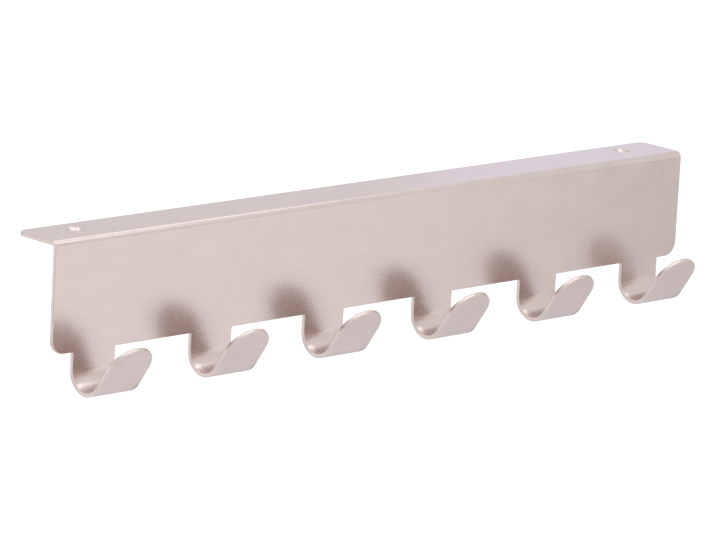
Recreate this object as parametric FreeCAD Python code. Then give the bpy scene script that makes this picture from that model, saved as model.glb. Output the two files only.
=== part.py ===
import FreeCAD, Part
import math
import os

# A rail of coat hooks for the top of a door, cut and folded from one sheet of stainless steel.
# The origin is midway between the two screw holes, on the flange's underside, which lies on the door.
# +X runs along the rail, +Y runs back over the door and +Z is up.

# Driving dimensions. Lengths are in millimetres and angles in degrees.
sheet = 2.0                   # thickness of the sheet
hook_count = 6
hook_pitch = 70.0             # from the middle of one hook to the middle of the next
hook_width = 25.0
end_margin = 12.5             # from the side of an end hook to the end of the rail
plate_height = 52.0           # from the flange's top to the plate's lower edge
plate_corner_radius = 7.0     # the plate's two lower corners
flange_depth = 27.5           # from the plate's front to the flange's rear edge
flange_corner_radius = 4.5    # the flange's two rear corners
fold_inner_radius = 1.0       # the fold between plate and flange
stem_drop = 8.0               # straight length of a hook below the plate's lower edge
hook_inner_radius = 8.7       # the hook's bend
hook_sweep = 146.0            # how far the hook turns: straight down is 0, straight up is 180
lip_length = 24.0             # flat part of the hook past its bend, with the rounded end
root_radius = 0.6             # inner corner between a hook's side and the plate's lower edge
edge_break = 0.3              # width of the deburring along every edge of the sheet
screw_setback = 15.0          # from the plate's back to the line of the screw holes
screw_hole_diameter = 5.2
countersink_diameter = 8.6
countersink_angle = 90.0

# Sizes and places that follow from them
screw_spacing = hook_pitch * (hook_count - 1)
rail_length = screw_spacing + hook_width + 2 * end_margin
half_length = rail_length / 2
back_y = -screw_setback
front_y = back_y - sheet
rear_y = front_y + flange_depth
plate_bottom_z = sheet - plate_height
stem_end_z = plate_bottom_z - stem_drop
fold_outer_radius = fold_inner_radius + sheet
fold_centre_y = front_y + fold_outer_radius
fold_centre_z = sheet - fold_outer_radius
bend_centre_y = front_y - hook_inner_radius
hook_places = [(i - (hook_count - 1) / 2) * hook_pitch for i in range(hook_count)]
screw_places = (-screw_spacing / 2, screw_spacing / 2)


def turned(centre_y, centre_z, radius, angle, x):
    """A point on a circle across the rail; angle 0 points back and 90 points up."""
    a = math.radians(angle)
    return FreeCAD.Vector(x, centre_y + radius * math.cos(a), centre_z + radius * math.sin(a))


def rounded_face(corners, place):
    """A flat face with corners (u, v, radius), where place turns u and v into a point in space."""
    starts = []
    arcs = []
    ends = []
    for i, (u, v, radius) in enumerate(corners):
        before = corners[i - 1]
        after = corners[(i + 1) % len(corners)]
        angle_back = math.atan2(before[1] - v, before[0] - u)
        angle_on = math.atan2(after[1] - v, after[0] - u)
        half = abs((angle_on - angle_back + math.pi) % (2 * math.pi) - math.pi) / 2
        if radius == 0:
            starts.append(place(u, v))
            ends.append(place(u, v))
            continue
        cut = radius / math.tan(half)
        start = place(u + cut * math.cos(angle_back), v + cut * math.sin(angle_back))
        end = place(u + cut * math.cos(angle_on), v + cut * math.sin(angle_on))
        middle_angle = math.atan2(math.sin(angle_back) + math.sin(angle_on),
                                  math.cos(angle_back) + math.cos(angle_on))
        reach = radius / math.sin(half) - radius
        middle = place(u + reach * math.cos(middle_angle), v + reach * math.sin(middle_angle))
        arcs.append(Part.Arc(start, middle, end).toShape())
        starts.append(start)
        ends.append(end)
    sides = [Part.makeLine(ends[i - 1], starts[i]) for i in range(len(corners))
             if ends[i - 1].distanceToPoint(starts[i]) > Part.Precision.confusion() * 10]
    return Part.Face(Part.Wire(Part.__sortEdges__(sides + arcs)))


def bent_strip(centre_y, centre_z, inner_radius, start_angle, sweep, x_low, width):
    """The sheet where it is bent round an axis along the rail."""
    def arc(radius):
        points = [turned(centre_y, centre_z, radius, start_angle + sweep * share, x_low)
                  for share in (0, 0.5, 1)]
        return Part.Arc(*points).toShape(), points[0], points[2]
    inner, inner_start, inner_end = arc(inner_radius)
    outer, outer_start, outer_end = arc(inner_radius + sheet)
    section = Part.Wire(Part.__sortEdges__(
        [inner, Part.makeLine(inner_end, outer_end), outer, Part.makeLine(outer_start, inner_start)]))
    return Part.Face(section).extrude(FreeCAD.Vector(width, 0, 0))


def plate_with_stems():
    """The upright plate and the straight tops of the hooks, which are cut from it."""
    corners = [(half_length, fold_centre_z, 0), (-half_length, fold_centre_z, 0),
               (-half_length, plate_bottom_z, plate_corner_radius)]
    for x in hook_places:
        left = x - hook_width / 2
        right = x + hook_width / 2
        corners += [(left, plate_bottom_z, root_radius), (left, stem_end_z, 0),
                    (right, stem_end_z, 0), (right, plate_bottom_z, root_radius)]
    corners.append((half_length, plate_bottom_z, plate_corner_radius))
    outline = rounded_face(corners, lambda u, v: FreeCAD.Vector(u, front_y, v))
    return outline.extrude(FreeCAD.Vector(0, sheet, 0))


def fold():
    """The square fold at the top, from the plate to the flange."""
    return bent_strip(fold_centre_y, fold_centre_z, fold_inner_radius, 180, -90, -half_length, rail_length)


def flange():
    """The flat strip that lies on the top of the door."""
    corners = [(-half_length, fold_centre_y, 0), (half_length, fold_centre_y, 0),
               (half_length, rear_y, flange_corner_radius), (-half_length, rear_y, flange_corner_radius)]
    return rounded_face(corners, lambda u, v: FreeCAD.Vector(u, v, 0)).extrude(FreeCAD.Vector(0, 0, sheet))


def hook_bend(x):
    """The round bottom of one hook."""
    return bent_strip(bend_centre_y, stem_end_z, hook_inner_radius, 0, -hook_sweep,
                      x - hook_width / 2, hook_width)


def hook_lip(x):
    """The flat lip of one hook, which ends in a half circle as wide as the hook."""
    start = turned(bend_centre_y, stem_end_z, hook_inner_radius, -hook_sweep, 0)
    outwards = turned(0, 0, 1, -hook_sweep, 0)
    onwards = turned(0, 0, 1, -hook_sweep - 90, 0)
    half = hook_width / 2
    corners = [(x - half, 0, 0), (x + half, 0, 0), (x + half, lip_length, half), (x - half, lip_length, half)]
    outline = rounded_face(corners, lambda u, v: FreeCAD.Vector(u, 0, 0) + start + onwards * v)
    return outline.extrude(outwards * sheet)


def sharp_edges(solid):
    """The edges where two faces meet at an angle, and not the seams where one runs on into the other."""
    picked = []
    for edge in solid.Edges:
        faces = solid.ancestorsOfType(edge, Part.Face)
        middle = edge.valueAt((edge.FirstParameter + edge.LastParameter) / 2)
        normals = [face.normalAt(*face.Surface.parameter(middle)) for face in faces]
        if abs(normals[0].dot(normals[1])) < math.cos(math.radians(45)):
            picked.append(edge)
    return picked


def screw_hole(x):
    """What one countersunk hole takes out of the flange: a cone from above and a straight hole below."""
    hole_radius = screw_hole_diameter / 2
    sink_radius = countersink_diameter / 2
    sink_depth = (sink_radius - hole_radius) / math.tan(math.radians(countersink_angle / 2))
    hole = Part.makeCylinder(hole_radius, 3 * sheet, FreeCAD.Vector(x, 0, -sheet))
    # The cone goes on above the flange for one more sheet, so that it cuts the top face cleanly.
    over = sheet * (sink_radius - hole_radius) / sink_depth
    sink = Part.makeCone(hole_radius, sink_radius + over, sink_depth + sheet,
                         FreeCAD.Vector(x, 0, sheet - sink_depth))
    return hole.fuse(sink)


def hook_rail():
    """The whole rail as one folded sheet."""
    pieces = [fold(), flange()]
    for x in hook_places:
        pieces += [hook_bend(x), hook_lip(x)]
    blank = plate_with_stems().multiFuse(pieces).removeSplitter()
    solid = blank.Solids[0]
    deburred = solid.makeChamfer(edge_break, sharp_edges(solid))
    return deburred.cut(Part.makeCompound([screw_hole(x) for x in screw_places]))


rail = hook_rail()
print("solids", len(rail.Solids), "valid", rail.isValid(), "volume", round(rail.Volume), "mm3")
print("box", rail.BoundBox)
os.makedirs("parts", exist_ok=True)
rail.Solids[0].exportStep("parts/hook_rail.step")
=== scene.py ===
import math

import bpy
from mathutils import Matrix, Vector


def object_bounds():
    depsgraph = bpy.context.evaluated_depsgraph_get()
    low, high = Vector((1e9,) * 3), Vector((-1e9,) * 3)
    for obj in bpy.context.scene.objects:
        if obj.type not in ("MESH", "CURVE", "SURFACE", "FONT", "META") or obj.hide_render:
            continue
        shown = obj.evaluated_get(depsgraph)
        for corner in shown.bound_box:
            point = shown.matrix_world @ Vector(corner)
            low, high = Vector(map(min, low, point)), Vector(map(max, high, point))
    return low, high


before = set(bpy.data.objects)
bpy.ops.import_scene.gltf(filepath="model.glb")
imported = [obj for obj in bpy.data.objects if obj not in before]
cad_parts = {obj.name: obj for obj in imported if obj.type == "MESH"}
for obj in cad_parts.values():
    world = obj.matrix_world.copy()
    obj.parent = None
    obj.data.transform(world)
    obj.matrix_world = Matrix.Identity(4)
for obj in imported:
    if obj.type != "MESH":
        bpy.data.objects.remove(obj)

CAD_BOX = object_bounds()

# The camera, solved from the photograph's outline of the rail. Lengths are in metres, angles in degrees.
CAMERA_PLACE = Vector((-1.73665, -1.83066, 0.54190))
CAMERA_AZIMUTH = -43.510
CAMERA_ELEVATION = 12.935
CAMERA_ROLL = 3.0755
CAMERA_LENS_MM = 276.15
SENSOR_MM = 36.0

# The room
FLOOR_DROP = 0.35             # how far the floor lies below the lowest hook
FLOOR_SIZE = 40.0
FLOOR_COLOUR = (0.80, 0.80, 0.80)
FLOOR_LIFT = 0.35             # what the floor shows to the camera beyond the light that falls on it
WORLD_COLOUR = (0.92, 0.92, 0.94)
WHITE = (1, 1, 1, 1)
CEILING = 1.0                 # height of the lamps that hang above the rail
LAMP_COLOUR = (0.98, 0.97, 1.05)
DAYLIGHT_COLOUR = (0.65, 0.80, 1.55)

# The ways that a lamp can face
DOWN = Vector((0, 0, -1))
RIGHT = Vector((1, 0, 0))
BACKWARDS = Vector((0, 1, 0))
FORWARDS = Vector((0, -1, 0))

# The steel. Its shades and roughnesses below are how far noise moves them up and down.
STEEL_COLOUR = (0.630, 0.538, 0.501)
STEEL_EDGE_TINT = (0.86, 0.84, 0.89)     # how it reflects at a glancing angle
STEEL_ROUGHNESS = 0.28
MOTTLE_SIZE = 0.016           # broad, faint cloudiness of the satin finish
MOTTLE_DETAIL = 3
MOTTLE_SHADE = 0.025
MOTTLE_ROUGHNESS = 0.02
STREAK_SIZE = (0.030, 0.0012)            # length along the rail and width of the faint streaks
STREAK_DETAIL = 2
STREAK_SHADE = 0.012
GRAIN_SIZE = (0.0035, 0.00012)           # length and width of the fine scratches that make the satin
GRAIN_DETAIL = 2
GRAIN_ROUGHNESS = 0.02
GRAIN_DEPTH = 0.0000024
NOISE_LOW = 0.3               # nearly all of the noise lies between these two
NOISE_HIGH = 0.7

# The hooks' bends, whose side edges curl over a little where the sheet was bent
HOOK_PITCH = 0.070
HOOK_WIDTH = 0.025
BEND_TOP = -0.060             # height at which the bends begin
BEND_BLEND = 0.006            # how far below that the curl grows to its full size
CURL_WIDTH = 0.0045
CURL_SLOPE = 0.24             # slope of the curled surface at the very edge

# The deburred edges of the sheet
SEAM_GAP = 1e-6
FLAT_ANGLE = math.radians(1)
EDGE_ANGLE = math.radians(30)
EDGE_ROUNDING = 0.00014
EDGE_SEGMENTS = 3


def place_camera():
    """Puts the camera where the photograph was taken from."""
    azimuth = math.radians(CAMERA_AZIMUTH)
    elevation = math.radians(CAMERA_ELEVATION)
    back = Vector((math.sin(azimuth) * math.cos(elevation),
                   -math.cos(azimuth) * math.cos(elevation),
                   math.sin(elevation)))
    right = (-back).cross(Vector((0, 0, 1))).normalized()
    up = right.cross(-back)
    roll = Matrix.Rotation(math.radians(CAMERA_ROLL), 3, back)
    turn = Matrix((roll @ right, roll @ up, back)).transposed()
    data = bpy.data.cameras.new("camera")
    data.lens = CAMERA_LENS_MM
    data.sensor_fit = "HORIZONTAL"
    data.sensor_width = SENSOR_MM
    camera = bpy.data.objects.new("camera", data)
    camera.matrix_world = Matrix.Translation(CAMERA_PLACE) @ turn.to_4x4()
    bpy.context.scene.collection.objects.link(camera)
    bpy.context.scene.camera = camera


def softbox(name, place, facing, width, height, radiance, colour=LAMP_COLOUR):
    """A soft area light. A radiance of 1 adds as much to what mirrors it as white paper shows."""
    data = bpy.data.lights.new(name, "AREA")
    data.shape = "RECTANGLE"
    data.size = width
    data.size_y = height
    data.energy = radiance * math.pi * width * height
    data.color = colour
    light = bpy.data.objects.new(name, data)
    light.location = place
    light.rotation_euler = facing.to_track_quat("-Z", "Y").to_euler()
    light.visible_camera = False
    bpy.context.scene.collection.objects.link(light)
    return light


def light_rail():
    """Soft boxes round the rail, each for the surfaces that mirror it to the camera."""
    # The highlight along the fold, which is brighter at the left
    softbox("right_softbox", (0.67, 0.65, CEILING), DOWN, width=0.56, height=0.8, radiance=0.9)
    # The screw holes' countersinks and the hooks' curled edges
    softbox("left_rear_softbox", (-0.62, 0.35, CEILING), DOWN, width=0.44, height=0.9, radiance=0.9)
    softbox("overhead_softbox", (0.05, -0.35, CEILING), DOWN, width=1.0, height=0.6, radiance=0.8)
    # The cooler right part of the flange
    softbox("side_daylight", (0.585, 0.30, 0.095), FORWARDS, width=0.5, height=0.3, radiance=0.15,
            colour=DAYLIGHT_COLOUR)
    # The plate, which darkens towards the right
    softbox("front_softbox", (0.2, -0.75, -0.19), BACKWARDS, width=1.3, height=0.44, radiance=0.40)
    # The cut faces at the left of the rail and of each hook
    softbox("left_softbox", (-0.9, 0.5, -0.2), RIGHT, width=1.2, height=0.4, radiance=0.5)
    # A pool of light on the floor, which the hooks' lips mirror
    floor_light = softbox("floor_light", (-0.2, -0.1, 0.25), DOWN, width=0.5, height=0.5, radiance=2.0)
    floor_light.visible_glossy = False


def stepped(tree, operation, *values):
    """One arithmetic step on values that are numbers or other nodes' outputs."""
    step = tree.nodes.new("ShaderNodeMath")
    step.operation = operation
    for socket, value in zip(step.inputs, values):
        if isinstance(value, bpy.types.NodeSocket):
            tree.links.new(value, socket)
        else:
            socket.default_value = value
    return step.outputs[0]


def seen_by(tree, *rays):
    """1 for the kinds of ray that are named, and 0 for light that is being gathered."""
    path = tree.nodes.new("ShaderNodeLightPath")
    either = path.outputs[rays[0]]
    for ray in rays[1:]:
        either = stepped(tree, "MAXIMUM", either, path.outputs[ray])
    return either


def make_world():
    """Soft light from all round, with plain white behind it."""
    world = bpy.data.worlds.new("studio")
    world.use_nodes = True
    tree = world.node_tree
    tree.nodes.clear()
    soft = tree.nodes.new("ShaderNodeBackground")
    soft.inputs["Color"].default_value = (*WORLD_COLOUR, 1)
    white = tree.nodes.new("ShaderNodeBackground")
    white.inputs["Color"].default_value = WHITE
    mix = tree.nodes.new("ShaderNodeMixShader")
    out = tree.nodes.new("ShaderNodeOutputWorld")
    tree.links.new(seen_by(tree, "Is Camera Ray", "Is Glossy Ray", "Is Transmission Ray"), mix.inputs[0])
    tree.links.new(soft.outputs[0], mix.inputs[1])
    tree.links.new(white.outputs[0], mix.inputs[2])
    tree.links.new(mix.outputs[0], out.inputs["Surface"])
    bpy.context.scene.world = world


def floor_paper():
    """Pale matt paper, which shows to the camera a little brighter than it is lit."""
    material = bpy.data.materials.new("floor")
    material.use_nodes = True
    tree = material.node_tree
    tree.nodes.clear()
    paper = tree.nodes.new("ShaderNodeBsdfDiffuse")
    paper.inputs["Color"].default_value = (*FLOOR_COLOUR, 1)
    lift = tree.nodes.new("ShaderNodeEmission")
    lift.inputs["Color"].default_value = WHITE
    strength = stepped(tree, "MULTIPLY", seen_by(tree, "Is Camera Ray", "Is Transmission Ray"), FLOOR_LIFT)
    tree.links.new(strength, lift.inputs["Strength"])
    both = tree.nodes.new("ShaderNodeAddShader")
    out = tree.nodes.new("ShaderNodeOutputMaterial")
    tree.links.new(paper.outputs[0], both.inputs[0])
    tree.links.new(lift.outputs[0], both.inputs[1])
    tree.links.new(both.outputs[0], out.inputs["Surface"])
    return material


def make_floor():
    """A plain pale floor below the rail, which hangs clear of it."""
    z = CAD_BOX[0][2] - FLOOR_DROP
    half = FLOOR_SIZE / 2
    corners = [(-half, -half, z), (half, -half, z), (half, half, z), (-half, half, z)]
    mesh = bpy.data.meshes.new("floor")
    mesh.from_pydata(corners, [], [(0, 1, 2, 3)])
    mesh.materials.append(floor_paper())
    floor = bpy.data.objects.new("floor", mesh)
    bpy.context.scene.collection.objects.link(floor)


def cloudy(tree, place, size, detail):
    """Noise whose patches have the size given along each axis, in metres."""
    stretch = tree.nodes.new("ShaderNodeVectorMath")
    stretch.operation = "DIVIDE"
    stretch.inputs[1].default_value = size
    tree.links.new(place, stretch.inputs[0])
    noise = tree.nodes.new("ShaderNodeTexNoise")
    noise.inputs["Scale"].default_value = 1.0
    noise.inputs["Detail"].default_value = detail
    tree.links.new(stretch.outputs[0], noise.inputs["Vector"])
    return noise.outputs["Fac"]


def ranged(tree, noise, middle, spread):
    """Turns noise into a number that goes up and down from the middle by the spread at most."""
    ramp = tree.nodes.new("ShaderNodeMapRange")
    ramp.inputs["From Min"].default_value = NOISE_LOW
    ramp.inputs["From Max"].default_value = NOISE_HIGH
    ramp.inputs["To Min"].default_value = middle - spread
    ramp.inputs["To Max"].default_value = middle + spread
    tree.links.new(noise, ramp.inputs["Value"])
    return ramp.outputs["Result"]


def curled(tree, place):
    """How far the surface falls away beside the hooks' side edges, as a negative height in metres."""
    parts = tree.nodes.new("ShaderNodeSeparateXYZ")
    tree.links.new(place, parts.inputs[0])
    # This is 0 midway between two hooks and grows to half the pitch at the middle of a hook.
    from_gap = stepped(tree, "PINGPONG", parts.outputs["X"], HOOK_PITCH / 2)
    past_start = stepped(tree, "SUBTRACT", HOOK_PITCH / 2 - HOOK_WIDTH / 2 + CURL_WIDTH, from_gap)
    reach = stepped(tree, "MAXIMUM", past_start, 0)
    fall = tree.nodes.new("ShaderNodeMapRange")
    fall.interpolation_type = "SMOOTHSTEP"
    fall.inputs["From Min"].default_value = BEND_TOP - BEND_BLEND
    fall.inputs["From Max"].default_value = BEND_TOP
    fall.inputs["To Min"].default_value = -CURL_SLOPE / (2 * CURL_WIDTH)
    fall.inputs["To Max"].default_value = 0
    tree.links.new(parts.outputs["Z"], fall.inputs["Value"])
    return stepped(tree, "MULTIPLY", stepped(tree, "MULTIPLY", reach, reach), fall.outputs["Result"])


def satin_steel():
    """Stainless steel with a fine satin finish, whose grain runs along the rail."""
    material = bpy.data.materials.new("satin_steel")
    material.use_nodes = True
    tree = material.node_tree
    shader = tree.nodes["Principled BSDF"]
    shader.inputs["Metallic"].default_value = 1.0
    shader.inputs["Specular Tint"].default_value = (*STEEL_EDGE_TINT, 1)
    place = tree.nodes.new("ShaderNodeTexCoord").outputs["Object"]
    streak_length, streak_width = STREAK_SIZE
    grain_length, grain_width = GRAIN_SIZE
    mottle = cloudy(tree, place, (MOTTLE_SIZE, MOTTLE_SIZE, MOTTLE_SIZE), MOTTLE_DETAIL)
    streaks = cloudy(tree, place, (streak_length, streak_width, streak_width), STREAK_DETAIL)
    grain = cloudy(tree, place, (grain_length, grain_width, grain_width), GRAIN_DETAIL)

    shade = stepped(tree, "MULTIPLY", ranged(tree, mottle, 1, MOTTLE_SHADE),
                    ranged(tree, streaks, 1, STREAK_SHADE))
    tone = tree.nodes.new("ShaderNodeVectorMath")
    tone.operation = "SCALE"
    tone.inputs[0].default_value = STEEL_COLOUR
    tree.links.new(shade, tone.inputs["Scale"])
    tree.links.new(tone.outputs[0], shader.inputs["Base Color"])

    rough = stepped(tree, "ADD", ranged(tree, mottle, STEEL_ROUGHNESS, MOTTLE_ROUGHNESS),
                    ranged(tree, grain, 0, GRAIN_ROUGHNESS))
    tree.links.new(rough, shader.inputs["Roughness"])

    height = stepped(tree, "ADD", stepped(tree, "MULTIPLY", grain, GRAIN_DEPTH), curled(tree, place))
    bump = tree.nodes.new("ShaderNodeBump")
    bump.inputs["Strength"].default_value = 1.0
    bump.inputs["Distance"].default_value = 1.0
    tree.links.new(height, bump.inputs["Height"])
    tree.links.new(bump.outputs[0], shader.inputs["Normal"])
    return material


def dress_rail():
    """Gives the folded sheet its finish and softens its deburred edges."""
    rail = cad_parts["hook_rail"]
    rail.data.materials.clear()
    rail.data.materials.append(satin_steel())
    joined = rail.modifiers.new("joined_seams", "WELD")
    joined.merge_threshold = SEAM_GAP
    whole = rail.modifiers.new("whole_faces", "DECIMATE")
    whole.decimate_type = "DISSOLVE"
    whole.angle_limit = FLAT_ANGLE
    soft = rail.modifiers.new("soft_edges", "BEVEL")
    soft.limit_method = "ANGLE"
    soft.angle_limit = EDGE_ANGLE
    soft.width = EDGE_ROUNDING
    soft.segments = EDGE_SEGMENTS
    soft.harden_normals = True


place_camera()
make_world()
make_floor()
light_rail()
dress_rail()
bpy.context.scene.view_settings.view_transform = "Standard"
